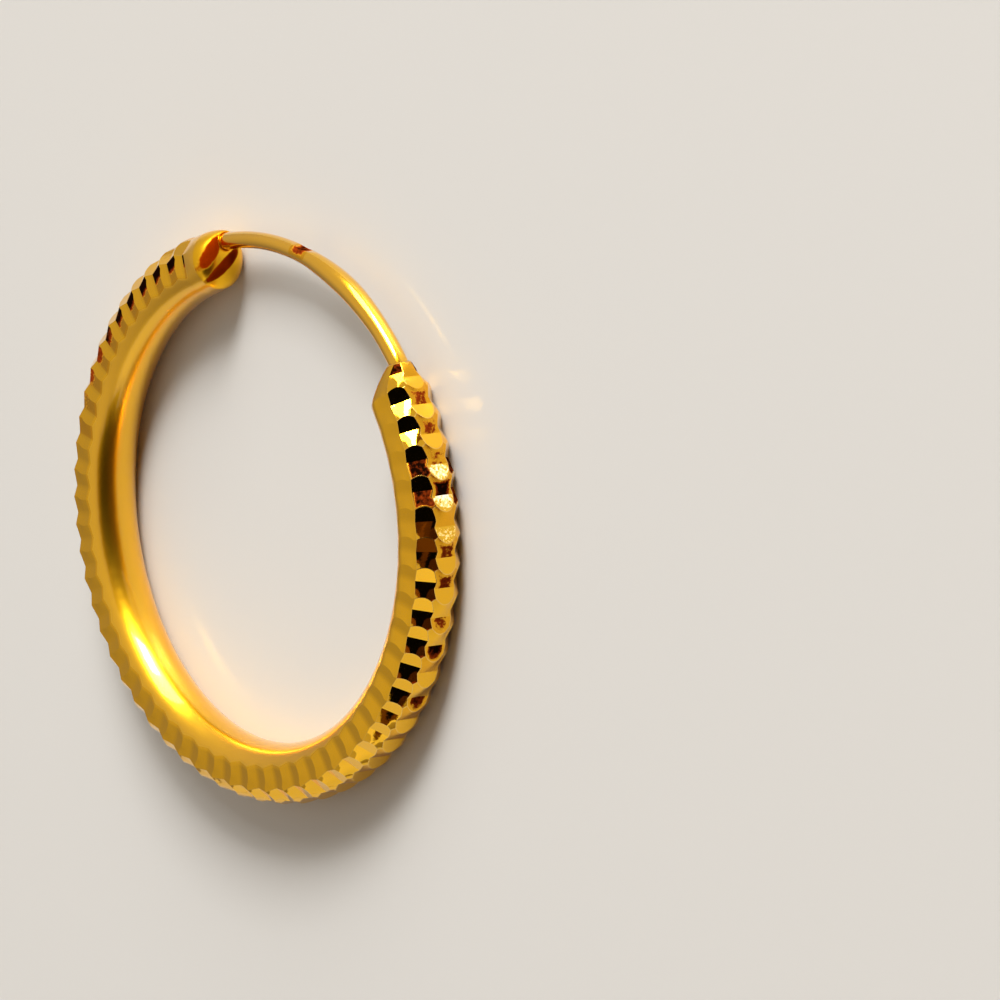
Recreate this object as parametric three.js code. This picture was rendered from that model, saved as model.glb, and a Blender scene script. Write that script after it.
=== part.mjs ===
// A hoop earring: a hollow diamond-cut tube bent to an open ring, with an ear wire across the opening.
//
// Units are millimetres. The hoop lies on its side, as it rests on a table: the ring is level, +Z is up,
// and the opening that the wire bridges faces +Y, which is up when the hoop is worn. The origin is on the
// table, under the centre of the ring.
//
// A place on the hoop is given by its ring angle, in degrees counterclockwise from +X, and by how far it
// lies outward and sideways (up) from the tube's centre line. The tube is listed from the end where the
// wire is rooted, round the hoop, to the end that the wire enters, so its ring angles fall. The wire is
// listed from its root across the opening to its free end, so its ring angles rise.
import * as THREE from "three";

const DEGREE = Math.PI / 180;

// ---- Driving dimensions ----

const RING_RADIUS = 11.2; // centre of the hoop to the tube's centre line
const TUBE_RADIUS = 1.335; // outside of the tube, on its smooth inner side
const CORNER_RADIUS = 1.385; // the furthest that a corner between cuts stands out
const BORE_RADIUS = 0.92; // hollow inside the tube

// The cuts: how many whole ones there are along the hoop, and how many degrees of the circle each takes.
// They are a little longer at the root end than at the entry end.
const CUT_COUNT = 49;
const FIRST_CUT_ANGLE = 49.5; // where the first cut's shoulder facets meet in their valley
const FIRST_CUT_PITCH = 6.25;
const LAST_CUT_PITCH = 5.65;

// Rows of facets run round the hoop, each facing its own way on the tube's section: 0 is outward and 90
// is sideways. A row's facets fall from a ridge to a valley and climb to the next ridge. ridge and valley
// are distances from the tube's centre, and ridgeAt and valleyAt are shares of one cut's length.
const OUTER_ROW = { facing: 0, ridge: 1.33, valley: 1.13, ridgeAt: 0.26, valleyAt: 0.79 };
const SHOULDER_ROW = { facing: 44, ridge: 1.36, valley: 1.17, ridgeAt: 0.5, valleyAt: 0 };
const SIDE_ROW = { facing: 86, ridge: 1.265, valley: 1.19, ridgeAt: 0.5, valleyAt: 0 };
const CUT_STATIONS = [0.79, 0.5, 0.26, 0]; // every ridge and valley of one cut, from its root side

// The tube's uncut inner side is drawn with these directions on its section.
const SMOOTH_FACING = [130, 155, 180];

// The two ends. At its root end the tube's cuts run on over a cone that narrows to the wire, and at its
// entry end it has a short plain band and a round dome. The wire leaves and enters off centre.
const ROOT_RIM_ANGLE = 52.35; // start of the cone
const ROOT_TIP_ANGLE = 58.3;
const ROOT_LIP_LEAN = 1.6; // degrees that the cone's end falls back for each mm outward
const CONE_FULLNESS = 1.4; // 1 is a straight cone, more is rounder
const ENTRY_BAND_ANGLE = 127.3 - 360; // end of the cuts, start of the band
const ENTRY_RIM_ANGLE = 125.6 - 360; // end of the band, start of the dome
const ENTRY_TIP_ANGLE = 121.2 - 360;
const BAND_RADIUS = 1.28; // a little less than the cuts' side ridges, which the hoop rests on
const DOME_STEPS = [0.3, 0.55, 0.75, 0.9, 0.97];
const LIP_WIDTH = 0.1; // flat ring round each wire hole
const HOLE_CLEARANCE = 0.05; // between the wire and its hole
const HOLE_MOUTH_ANGLE = 2; // past each rim, where the wire's hole opens into the hollow
const BORE_STATIONS = 44; // sections that the hollow is drawn with

// The ear wire, from its root to its free end. It is thicker over its middle than at its ends. offset is
// from the tube's centre line outward to the wire's: the wire moves in towards the tube's centre inside
// both ends. flat is how much is ground off its outward side, as a notch before its free end.
const WIRE_SECTIONS = [
  { angle: 47, diameter: 0.86, offset: 0.42, flat: 0 },
  { angle: 50, diameter: 0.86, offset: 0.43, flat: 0 },
  { angle: 53, diameter: 0.86, offset: 0.56, flat: 0 },
  { angle: 58.5, diameter: 0.86, offset: 0.75, flat: 0 },
  { angle: 67.5, diameter: 0.87, offset: 0.77, flat: 0 },
  { angle: 71.5, diameter: 0.92, offset: 0.765, flat: 0 },
  { angle: 75.5, diameter: 0.97, offset: 0.77, flat: 0 },
  { angle: 79.5, diameter: 0.98, offset: 0.765, flat: 0 },
  { angle: 83, diameter: 0.97, offset: 0.745, flat: 0 },
  { angle: 86.5, diameter: 0.92, offset: 0.73, flat: 0 },
  { angle: 89.8, diameter: 0.86, offset: 0.72, flat: 0 },
  { angle: 92.2, diameter: 0.8, offset: 0.72, flat: 0 },
  { angle: 94.8, diameter: 0.76, offset: 0.715, flat: 0.13 },
  { angle: 96.6, diameter: 0.75, offset: 0.71, flat: 0.13 },
  { angle: 99.2, diameter: 0.74, offset: 0.705, flat: 0 },
  { angle: 122, diameter: 0.74, offset: 0.7, flat: 0 },
  { angle: 125, diameter: 0.74, offset: 0.62, flat: 0 },
  { angle: 128, diameter: 0.74, offset: 0.49, flat: 0 },
  { angle: 131, diameter: 0.74, offset: 0.44, flat: 0 },
  { angle: 139, diameter: 0.74, offset: 0.42, flat: 0 },
  { angle: 140.4, diameter: 0.58, offset: 0.42, flat: 0 },
  { angle: 141, diameter: 0.3, offset: 0.42, flat: 0 },
];
const WIRE_SIDES = 12;
const WIRE_STEP_ANGLE = 3; // the most that two of the wire's drawn sections lie apart

// ---- Places ----

function wrapShare(share) {
  return share - Math.floor(share);
}

function blend(from, to, share) {
  return from + (to - from) * share;
}

// Point of a section, as outward and sideways distances from the tube's centre line.
function sectionPoint(radius, facing, shift = 0) {
  return new THREE.Vector2(
    radius * Math.cos(facing * DEGREE) + shift,
    radius * Math.sin(facing * DEGREE),
  );
}

function placeOnRing(ringAngle, point) {
  const reach = RING_RADIUS + point.x;
  return new THREE.Vector3(
    reach * Math.cos(ringAngle * DEGREE),
    reach * Math.sin(ringAngle * DEGREE),
    point.y,
  );
}

function placeOutline(ringAngle, outline) {
  return outline.map((point) => placeOnRing(ringAngle, point));
}

// The tube's ring angles go on below zero as far as the entry end. The wire's are all above zero.
function wireAngleAt(ringAngle) {
  return ringAngle < 0 ? ringAngle + 360 : ringAngle;
}

// ---- The cut tube's section ----

// Ring angle where a cut starts. Each cut is shorter than the one before by the same small amount.
const PITCH_STEP = (FIRST_CUT_PITCH - LAST_CUT_PITCH) / (CUT_COUNT - 1);

function cutPitch(cut) {
  return FIRST_CUT_PITCH - PITCH_STEP * cut;
}

function cutAngle(cut) {
  return FIRST_CUT_ANGLE - FIRST_CUT_PITCH * cut + (PITCH_STEP * cut * (cut + 1)) / 2;
}

// Distance from the tube's centre to a row's facet, at a share of the way along one cut.
function facetDistance(row, share) {
  const climb = wrapShare(row.ridgeAt - row.valleyAt);
  const along = wrapShare(share - row.valleyAt);
  const height = along < climb ? along / climb : (1 - along) / (1 - climb);
  return blend(row.valley, row.ridge, height);
}

// Where the facets of two neighbouring rows meet: the corner lies on both facets.
function cornerBetween(row, nextRow, share) {
  const turn = (nextRow.facing - row.facing) * DEGREE;
  const near = facetDistance(row, share);
  const far = facetDistance(nextRow, share);
  const lean = Math.atan((far / near - Math.cos(turn)) / Math.sin(turn));
  const radius = Math.min(near / Math.cos(lean), CORNER_RADIUS);
  return sectionPoint(radius, row.facing + lean / DEGREE);
}

// Where the side facets run out into the smooth round inner side of the tube.
function sideRunOut(share) {
  const lean = Math.acos(facetDistance(SIDE_ROW, share) / TUBE_RADIUS);
  return sectionPoint(TUBE_RADIUS, SIDE_ROW.facing + lean / DEGREE);
}

// A closed outline from its points between outward and inward: the other side is their mirror image.
function mirrorOutline(points) {
  const inner = points.slice(1, -1).reverse();
  return [...points, ...inner.map((point) => new THREE.Vector2(point.x, -point.y))];
}

function cutOutline(share) {
  return mirrorOutline([
    sectionPoint(facetDistance(OUTER_ROW, share), 0),
    cornerBetween(OUTER_ROW, SHOULDER_ROW, share),
    cornerBetween(SHOULDER_ROW, SIDE_ROW, share),
    sideRunOut(share),
    ...SMOOTH_FACING.map((facing) => sectionPoint(TUBE_RADIUS, facing)),
  ]);
}

// Round outline with as many points as a cut outline, so that the two can be joined.
const ROUND_FACING = [0, 30, 60, 90, 120, 150, 180];

function roundOutline(radius, shift = 0) {
  return mirrorOutline(ROUND_FACING.map((facing) => sectionPoint(radius, facing, shift)));
}

function blendOutlines(from, to, share) {
  return from.map((point, index) => point.clone().lerp(to[index], share));
}

// ---- The wire's sections and the holes round it ----

function wireSectionAt(wireAngle) {
  const next = Math.max(1, WIRE_SECTIONS.findIndex((section) => section.angle >= wireAngle));
  const from = WIRE_SECTIONS[next - 1];
  const to = WIRE_SECTIONS[next];
  const share = (wireAngle - from.angle) / (to.angle - from.angle);
  return {
    radius: blend(from.diameter, to.diameter, share) / 2,
    offset: blend(from.offset, to.offset, share),
    flat: blend(from.flat, to.flat, share),
  };
}

function holeOutline(ringAngle, wallWidth = 0) {
  const wire = wireSectionAt(wireAngleAt(ringAngle));
  return roundOutline(wire.radius + HOLE_CLEARANCE + wallWidth, wire.offset);
}

function lipOutline(ringAngle) {
  return holeOutline(ringAngle, LIP_WIDTH);
}

// ---- Solids from outlines ----

// Closed solid through a list of loops of points, every loop with as many points as the next. The loops
// either close on the first one again, as a tube's wall does, or end in a flat face at each end.
function solidThrough(loops, closesOnItself) {
  const sides = loops[0].length;
  const positions = loops.flat().flatMap((point) => [point.x, point.y, point.z]);
  const triangles = [];
  const spans = closesOnItself ? loops.length : loops.length - 1;
  for (let span = 0; span < spans; span += 1) {
    const here = span * sides;
    const next = ((span + 1) % loops.length) * sides;
    for (let side = 0; side < sides; side += 1) {
      const turn = (side + 1) % sides;
      triangles.push(here + side, here + turn, next + turn);
      triangles.push(here + side, next + turn, next + side);
    }
  }
  if (!closesOnItself) {
    const last = (loops.length - 1) * sides;
    for (let side = 1; side < sides - 1; side += 1) {
      triangles.push(0, side + 1, side);
      triangles.push(last, last + side, last + side + 1);
    }
  }
  const geometry = new THREE.BufferGeometry();
  geometry.setAttribute("position", new THREE.Float32BufferAttribute(positions, 3));
  geometry.setIndex(triangles);
  geometry.computeVertexNormals();
  return geometry;
}

// ---- The hoop's tube ----

// Loop of the cut tube or of its cone, where an outline closes in on the lip and leans with it.
function leaningLoop(ringAngle, outline, share) {
  const lipOffset = wireSectionAt(ROOT_TIP_ANGLE).offset;
  return outline.map((point) => {
    const lean = ROOT_LIP_LEAN * (point.x - lipOffset) * share;
    return placeOnRing(ringAngle - lean, point);
  });
}

function cutLoop(ringAngle, cutShare) {
  const outline = cutOutline(cutShare);
  const past = (ringAngle - ROOT_RIM_ANGLE) / (ROOT_TIP_ANGLE - ROOT_RIM_ANGLE);
  const share = Math.max(past, 0);
  const lip = lipOutline(ROOT_TIP_ANGLE);
  return leaningLoop(ringAngle, blendOutlines(outline, lip, share ** CONE_FULLNESS), share);
}

// Every ridge and valley from the cone to the band. A part of one more cut lies on the cone.
function cutLoops() {
  const loops = [];
  for (let cut = -1; cut < CUT_COUNT; cut += 1) {
    for (const cutShare of CUT_STATIONS) {
      const ringAngle = cutAngle(cut) + cutShare * cutPitch(cut);
      if (ringAngle < ROOT_TIP_ANGLE && ringAngle > ENTRY_BAND_ANGLE) {
        loops.push(cutLoop(ringAngle, cutShare));
      }
    }
  }
  return loops;
}

// The dome's outline closes in slowly at first and fast towards the lip, as a ball's does.
function domeLoops() {
  const rim = roundOutline(BAND_RADIUS);
  const lip = lipOutline(ENTRY_TIP_ANGLE);
  const steps = [0, ...DOME_STEPS, 1];
  return steps.map((step) => {
    const ringAngle = blend(ENTRY_RIM_ANGLE, ENTRY_TIP_ANGLE, step);
    return placeOutline(ringAngle, blendOutlines(rim, lip, 1 - Math.sqrt(1 - step * step)));
  });
}

// The hollow, from the entry hole back to the root hole.
function hollowLoops() {
  const bore = roundOutline(BORE_RADIUS);
  const entryMouth = ENTRY_RIM_ANGLE + HOLE_MOUTH_ANGLE;
  const rootMouth = ROOT_RIM_ANGLE - HOLE_MOUTH_ANGLE;
  const loops = [
    placeOutline(ENTRY_TIP_ANGLE, holeOutline(ENTRY_TIP_ANGLE)),
    placeOutline(ENTRY_RIM_ANGLE, holeOutline(ENTRY_RIM_ANGLE)),
  ];
  for (let station = 0; station <= BORE_STATIONS; station += 1) {
    loops.push(placeOutline(blend(entryMouth, rootMouth, station / BORE_STATIONS), bore));
  }
  loops.push(placeOutline(ROOT_RIM_ANGLE, holeOutline(ROOT_RIM_ANGLE)));
  loops.push(leaningLoop(ROOT_TIP_ANGLE, holeOutline(ROOT_TIP_ANGLE), 1));
  return loops;
}

function hoopTube() {
  const lip = leaningLoop(ROOT_TIP_ANGLE, lipOutline(ROOT_TIP_ANGLE), 1);
  const band = placeOutline(ENTRY_BAND_ANGLE, roundOutline(BAND_RADIUS));
  return solidThrough([lip, ...cutLoops(), band, ...domeLoops(), ...hollowLoops()], true);
}

// ---- The ear wire ----

// Ring angles of the wire's sections, with more between those that lie far apart.
function wireAngles() {
  const angles = [];
  WIRE_SECTIONS.slice(1).forEach((section, index) => {
    const from = WIRE_SECTIONS[index].angle;
    const steps = Math.ceil((section.angle - from) / WIRE_STEP_ANGLE);
    for (let step = 0; step < steps; step += 1) {
      angles.push(blend(from, section.angle, step / steps));
    }
  });
  return [...angles, WIRE_SECTIONS.at(-1).angle];
}

function wireLoop(wireAngle) {
  const { radius, offset, flat } = wireSectionAt(wireAngle);
  const outline = [];
  for (let side = 0; side < WIRE_SIDES; side += 1) {
    const point = sectionPoint(radius, (360 * side) / WIRE_SIDES, offset);
    point.x = Math.min(point.x, offset + radius - flat);
    outline.push(point);
  }
  return placeOutline(wireAngle, outline);
}

function earWire() {
  return solidThrough(wireAngles().toReversed().map(wireLoop), false);
}

// ---- Assembly ----

const cutGold = new THREE.MeshStandardMaterial({
  color: 0xe0a52e, roughness: 0.12, metalness: 1, flatShading: true,
});
const wireGold = new THREE.MeshStandardMaterial({ color: 0xe3ad3a, roughness: 0.2, metalness: 1 });

const hoop = new THREE.Mesh(hoopTube(), cutGold);
hoop.name = "hoop_tube";

const wire = new THREE.Mesh(earWire(), wireGold);
wire.name = "ear_wire";

// The ring's centre line is as high as the tube reaches below it, so that the hoop rests on the table.
const earring = new THREE.Group();
earring.add(hoop, wire);
hoop.geometry.computeBoundingBox();
earring.position.z = -hoop.geometry.boundingBox.min.z;

export default earring;
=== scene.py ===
# %% [markdown]
# # A diamond-cut hoop earring
#
# This lesson dresses a packed earring for its portrait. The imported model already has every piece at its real
# size: a hollow tube bent to an open hoop, and an ear wire that bridges the opening. Its facets are plain
# there, so both pieces are made again here, finer, in the same place and from the same sizes. The first cell
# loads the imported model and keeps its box, because nothing made here may stand out of it.

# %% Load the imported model
import math

import bpy
import numpy as np
from mathutils import Matrix, Vector


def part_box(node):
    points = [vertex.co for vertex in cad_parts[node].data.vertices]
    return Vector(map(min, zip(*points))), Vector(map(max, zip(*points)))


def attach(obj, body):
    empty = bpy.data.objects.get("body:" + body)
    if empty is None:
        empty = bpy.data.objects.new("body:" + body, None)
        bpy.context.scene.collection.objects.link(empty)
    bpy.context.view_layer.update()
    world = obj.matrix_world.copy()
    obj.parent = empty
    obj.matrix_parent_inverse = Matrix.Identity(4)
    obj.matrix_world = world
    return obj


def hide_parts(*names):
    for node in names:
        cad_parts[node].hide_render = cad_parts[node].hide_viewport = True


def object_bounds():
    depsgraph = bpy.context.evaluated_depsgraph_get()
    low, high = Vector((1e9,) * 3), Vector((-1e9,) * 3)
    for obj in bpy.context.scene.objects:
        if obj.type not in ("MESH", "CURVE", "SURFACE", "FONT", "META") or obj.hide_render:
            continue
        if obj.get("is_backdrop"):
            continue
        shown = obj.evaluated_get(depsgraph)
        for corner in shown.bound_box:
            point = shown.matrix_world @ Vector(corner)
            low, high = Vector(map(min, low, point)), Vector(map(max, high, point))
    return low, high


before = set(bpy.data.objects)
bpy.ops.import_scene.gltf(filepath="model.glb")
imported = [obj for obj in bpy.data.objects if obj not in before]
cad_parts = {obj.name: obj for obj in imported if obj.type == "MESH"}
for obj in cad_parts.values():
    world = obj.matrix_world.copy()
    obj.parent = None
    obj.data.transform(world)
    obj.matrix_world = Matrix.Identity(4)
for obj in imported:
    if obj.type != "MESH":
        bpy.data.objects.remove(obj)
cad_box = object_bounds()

print("packed nodes:", sorted(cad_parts))

# %% [markdown]
# ## Sizes
#
# A jeweller would describe this hoop with few numbers: the radius of the ring, the radius of the tube, how
# many cuts go round it and how deep they are. All sizes are in millimetres and all angles in degrees. The
# ring angle runs counterclockwise from +X. A place on the tube's section is given by the way it faces: 0 is
# outward from the ring, 90 is up, 180 is towards the ring's centre.

# %% Driving sizes
MM = 0.001  # metres in a millimetre
DEGREE = math.pi / 180

RING_RADIUS = 11.2
TUBE_RADIUS = 1.335
BORE_RADIUS = 0.92
BAND_RADIUS = 1.28

FIRST_CUT_ANGLE = 49.5
FIRST_CUT_PITCH = 6.25
LAST_CUT_PITCH = 5.65
CUT_COUNT = 49

ROOT_RIM_ANGLE = 52.35
ROOT_TIP_ANGLE = 58.3
ENTRY_BAND_ANGLE = 127.3 - 360
ENTRY_RIM_ANGLE = 125.6 - 360
ENTRY_TIP_ANGLE = 121.2 - 360

ring_height = (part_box("hoop_tube")[0].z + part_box("hoop_tube")[1].z) / 2 / MM
print(f"the ring's centre line is {ring_height:.3f} mm above the table")

# %% [markdown]
# ## The cuts
#
# The cutter indexes along the tube in small steps. At each step it leaves a flat facet and, where it lifts
# out, a steep and slightly crowned wall that leads to the next facet. Three kinds of rows lie side by side on
# the tube: one outer row, two shoulder rows and two side rows. Each row repeats once per step, but the outer
# row's facets are half a step out of line with the others, which gives the shield shapes.
#
# A modeller could cut these with hundreds of booleans. Here each facet is a true plane in space, worked out
# by formula, and the mesh lines are laid along the facets' edges. That is quick and leaves crisp edges.

# %% Where the cuts lie
PITCH_STEP = (FIRST_CUT_PITCH - LAST_CUT_PITCH) / (CUT_COUNT - 1)


def ring_angle(cut):
    """Ring angle of a place counted in cuts from the root end: cut 3.5 is halfway along the fourth cut."""
    first = FIRST_CUT_ANGLE + FIRST_CUT_PITCH
    return first - FIRST_CUT_PITCH * cut + PITCH_STEP * cut * (cut - 1) / 2


def outward(angle):
    """Unit vectors that point away from the ring's centre at these ring angles."""
    turn = np.asarray(angle) * DEGREE
    return np.stack([np.cos(turn), np.sin(turn), np.zeros_like(turn)], axis=-1)


def facing_direction(angle, facing):
    """Unit vectors on the tube's section at a ring angle, facing outward, up or between."""
    tilt = np.asarray(facing)[..., None] * DEGREE
    return np.cos(tilt) * outward(angle) + np.sin(tilt) * np.array([0.0, 0.0, 1.0])


print(f"{CUT_COUNT} cuts from {ring_angle(0):.1f} to {ring_angle(CUT_COUNT):.1f} degrees")

# %% Places along one cut
# An edge's places, in cuts, at six facings: 0, 22, 44, 66, 88 and 110. Every second one is the middle of a
# row of facets and the others are the corners between rows, so an edge can bow from one to the next.
ROW_WIDTH = 44  # degrees of facing from one row to the next
LAST_ROW = 2.5  # rows from the first one's middle to the last one's far corner
EDGES = {
    "outer valley": [0.21, 0.21, 0.21, 0.21, 0.21, 0.21],
    "outer ridge": [0.74, 0.49, 0.36, 0.40, 0.36, 0.38],
    "shoulder ridge": [0.87, 0.76, 0.50, 0.64, 0.50, 0.58],
    "shoulder valley": [1.0, 1.0, 1.0, 1.0, 1.0, 1.0],
}
OUTER_VALLEY, OUTER_RIDGE, SHOULDER_RIDGE, SHOULDER_VALLEY = range(len(EDGES))  # their numbers


def edge_place(name, facing):
    """Place of an edge within its cut. It bows away from the middle of each row like a parabola."""
    knots = np.array(EDGES[name])
    rows = np.clip(facing / ROW_WIDTH, 0, LAST_ROW)
    row = np.round(rows).astype(int)
    lean = 2 * (rows - row)
    middle = knots[2 * row]
    corner = knots[2 * row + np.sign(lean).astype(int)]
    return middle + (corner - middle) * lean ** 2


for name in EDGES:
    print(name, np.round(edge_place(name, np.array([0, 11, 22, 33, 44, 66, 88])), 2))

# %% Rows of facets
# A row's flat facets run from one edge to another. The radii are the distances from the tube's centre line
# to the facet's middle at these edges. The wall runs on from there to the next flat facet.
ROWS = {
    "outer": {
        "facing": 0, "from": "outer valley", "from_radius": 1.13, "to": "outer ridge", "to_radius": 1.33,
    },
    "shoulder": {
        "facing": 44, "from": "shoulder ridge", "from_radius": 1.36,
        "to": "shoulder valley", "to_radius": 1.17,
    },
    "side": {
        "facing": 86, "from": "shoulder ridge", "from_radius": 1.265,
        "to": "shoulder valley", "to_radius": 1.19,
    },
}
UNEVENNESS = 0.012  # mm by which the depth of cuts varies, because a hand feeds the tool
SPARE_CUTS = 4  # cuts counted beyond both ends, so that the first and last have neighbours
DEPTH_SEED = 7

randomness = np.random.default_rng(DEPTH_SEED)
for row in ROWS.values():
    row["from_depths"] = UNEVENNESS * randomness.random(CUT_COUNT + 2 * SPARE_CUTS)
    row["to_depths"] = UNEVENNESS * randomness.random(CUT_COUNT + 2 * SPARE_CUTS)
print("rows and the ways they face:", {name: row["facing"] for name, row in ROWS.items()})

# %% Surface of a row
TOOL_HOLLOW = 0.005  # mm that the round cutter hollows a facet across its middle
ON_EDGE = 1e-9  # cuts that a place may be off an edge and still count as being on it


def row_facing(row, step):
    """The way that a row faces, once for each step."""
    return np.full(np.shape(step), float(row["facing"]))


def middle_point(row, step, side):
    """Point in the middle of a flat facet's edge, where side is "from" or "to"."""
    facing = row_facing(row, step)
    angle = ring_angle(step + edge_place(row[side], facing))
    depth = row[side + "_depths"][step.astype(int) + SPARE_CUTS]
    radius = (row[side + "_radius"] - depth)[..., None]
    return RING_RADIUS * outward(angle) + radius * facing_direction(angle, facing)


def plane_radius(row, step, cut, facing):
    """Distance from the tube's centre line to flat facet number `step` of a row."""
    start = middle_point(row, step, "from")
    end = middle_point(row, step, "to")
    across = facing_direction(ring_angle(step + 0.5), row_facing(row, step) + 90)
    normal = np.cross(end - start, across)
    angle = ring_angle(cut)
    to_plane = np.sum(normal * (start - RING_RADIUS * outward(angle)), axis=-1)
    flat = to_plane / np.sum(normal * facing_direction(angle, facing), axis=-1)
    lean = (facing - row["facing"]) / (ROW_WIDTH / 2)
    return flat - TOOL_HOLLOW * np.clip(1 - lean ** 2, 0, 1)


def row_radius(row, cut, facing):
    """Distance from the tube's centre line to a row's surface: flat facet or wall."""
    start = edge_place(row["from"], facing)
    end = edge_place(row["to"], facing)
    step = np.floor(cut - start + ON_EDGE)
    place = cut - step
    flat = plane_radius(row, step, cut, facing)
    wall_from = plane_radius(row, step, step + end, facing)
    wall_to = plane_radius(row, step + 1, step + 1 + start, facing)
    share = np.clip((place - end) / (start + 1 - end), 0, 1)
    wall = wall_from + (wall_to - wall_from) * share
    return np.where(place <= end + ON_EDGE, flat, wall)


for name, row in ROWS.items():
    middle = row_radius(row, np.array([10.21, 10.5, 10.74, 11.0]), np.full(4, float(row["facing"])))
    print(name, "row, distances at four places of one cut:", np.round(middle, 3))

# %% [markdown]
# ## Mesh lines along the facets' edges
#
# A grid is wrapped round the tube. Its lines across the tube follow the ridges and valleys, bows and all,
# with a few more between them. Its lines along the tube follow the corners where two rows meet, which a
# short bisection finds, because there both rows are equally far from the tube's centre.

# %% Lines across the tube
LINES_AFTER = {"outer valley": 3, "outer ridge": 2, "shoulder ridge": 3, "shoulder valley": 2}
EDGE_NAMES = list(EDGES)
END_MARGIN = 0.5  # degrees between the outermost lines and the root tip or the entry band
LOOK_AHEAD = 0.2  # cuts after a line at which that margin is measured
FIRST_LINED_CUT = -2  # early enough for the root cone's tip


def cut_lines():
    """Every mesh line: its cut, the edge that it follows or comes after, and its share of the way on."""
    first_angle = ROOT_TIP_ANGLE - END_MARGIN
    last_angle = ENTRY_BAND_ANGLE + END_MARGIN
    lines = []
    for step in range(FIRST_LINED_CUT, CUT_COUNT + 1):
        for edge, name in enumerate(EDGE_NAMES):
            place = step + EDGES[name][0]
            if not last_angle < ring_angle(place + LOOK_AHEAD) < first_angle:
                continue
            for part in range(LINES_AFTER[name]):
                lines.append((step, edge, part / LINES_AFTER[name]))
    return lines


LINES = cut_lines()
line_step = np.array([line[0] for line in LINES])
line_edge = np.array([line[1] for line in LINES])
line_share = np.array([line[2] for line in LINES])
print(len(LINES), "mesh lines across the tube")

# %% Where these lines run
def line_place(facing):
    """Place in cuts of every mesh line where it faces this way: one row of facings for each line."""
    edges = [edge_place(name, facing) for name in EDGE_NAMES]
    edges.append(edges[0] + 1)
    edges = np.stack(edges)
    line = np.arange(len(LINES))
    here = edges[line_edge, line]
    after = edges[line_edge + 1, line]
    fill = (slice(None),) + (None,) * (np.ndim(facing) - 1)
    return line_step[fill] + here + (after - here) * line_share[fill]


outward_places = line_place(np.zeros(len(LINES)))
print("outward, the first lines lie at these places in cuts:", np.round(outward_places[:4], 2).tolist())

# %% Lines along the tube
BISECTIONS = 40
SHOULDER_CORNER_RANGE = (8, 40)  # facings between which each corner is looked for
SIDE_CORNER_RANGE = (50, 84)
RUN_OUT_RANGE = (88, 130)


def bisect(difference, facing_range):
    """Facing, for every mesh line, where the difference changes from below zero to above it."""
    low = np.full(len(LINES), float(facing_range[0]))
    high = np.full(len(LINES), float(facing_range[1]))
    for _ in range(BISECTIONS):
        middle = (low + high) / 2
        above = difference(middle) > 0
        high = np.where(above, middle, high)
        low = np.where(above, low, middle)
    return (low + high) / 2


def corner_facing(row, next_row, facing_range):
    """Facing of the corner between two rows."""
    def difference(facing):
        place = line_place(facing)
        return row_radius(ROWS[row], place, facing) - row_radius(ROWS[next_row], place, facing)
    return bisect(difference, facing_range)


def run_out_facing():
    """Facing where the side row's cuts run out into the smooth inner side."""
    def difference(facing):
        return row_radius(ROWS["side"], line_place(facing), facing) - TUBE_RADIUS
    return bisect(difference, RUN_OUT_RANGE)


shoulder_corner = corner_facing("outer", "shoulder", SHOULDER_CORNER_RANGE)
side_corner = corner_facing("shoulder", "side", SIDE_CORNER_RANGE)
run_out = run_out_facing()
for name, facing in (("outer", shoulder_corner), ("side", side_corner), ("inner", run_out)):
    print(f"{name} corners face {facing.min():.1f} to {facing.max():.1f} degrees")

# %% [markdown]
# ## From sections to a solid
#
# Half a section is a list of points from outward (0) to inward (180), region by region. The other half is
# its mirror image. Towards the root the section closes in on the ear wire like a cone, and at the entry end
# a plain band and a round dome take over. Inside, the hollow runs back from one wire hole to the other, so
# that the whole tube is one closed skin. The holes fit round the ear wire, so its sizes are needed here too.

# %% Half sections of the cut tube
# How many parts each region has, and the columns of points at which the regions start.
OUTER_PARTS = 4
SHOULDER_PARTS = 8
SIDE_PARTS = 6
SMOOTH_PARTS = 12
SHOULDER_START = OUTER_PARTS
SIDE_START = SHOULDER_START + SHOULDER_PARTS
SMOOTH_START = SIDE_START + SIDE_PARTS
HALF_PARTS = SMOOTH_START + SMOOTH_PARTS
AROUND = 2 * HALF_PARTS


def spread(start, end, parts):
    """Columns from start to end, without the first."""
    shares = np.arange(1, parts + 1) / parts
    return start[:, None] + (end - start)[:, None] * shares


def half_facings():
    """The way that every point of every mesh line's half section faces."""
    zero = np.zeros(len(LINES))
    return np.concatenate([
        zero[:, None],
        spread(zero, shoulder_corner, OUTER_PARTS),
        spread(shoulder_corner, side_corner, SHOULDER_PARTS),
        spread(side_corner, run_out, SIDE_PARTS),
        spread(run_out, zero + 180, SMOOTH_PARTS),
    ], axis=1)


def half_radii(facings, places):
    """Distances of the same points from the tube's centre line."""
    radii = np.full_like(facings, TUBE_RADIUS)
    starts = (0, SHOULDER_START, SIDE_START, SMOOTH_START)
    for name, first, last in zip(ROWS, starts, starts[1:]):
        columns = slice(first, last + 1)
        radii[:, columns] = row_radius(ROWS[name], places[:, columns], facings[:, columns])
    return radii


facings = half_facings()
places = line_place(facings)
radii = half_radii(facings, places)
print(f"the cut tube is {2 * radii.min():.2f} to {2 * radii.max():.2f} mm thick")

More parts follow.
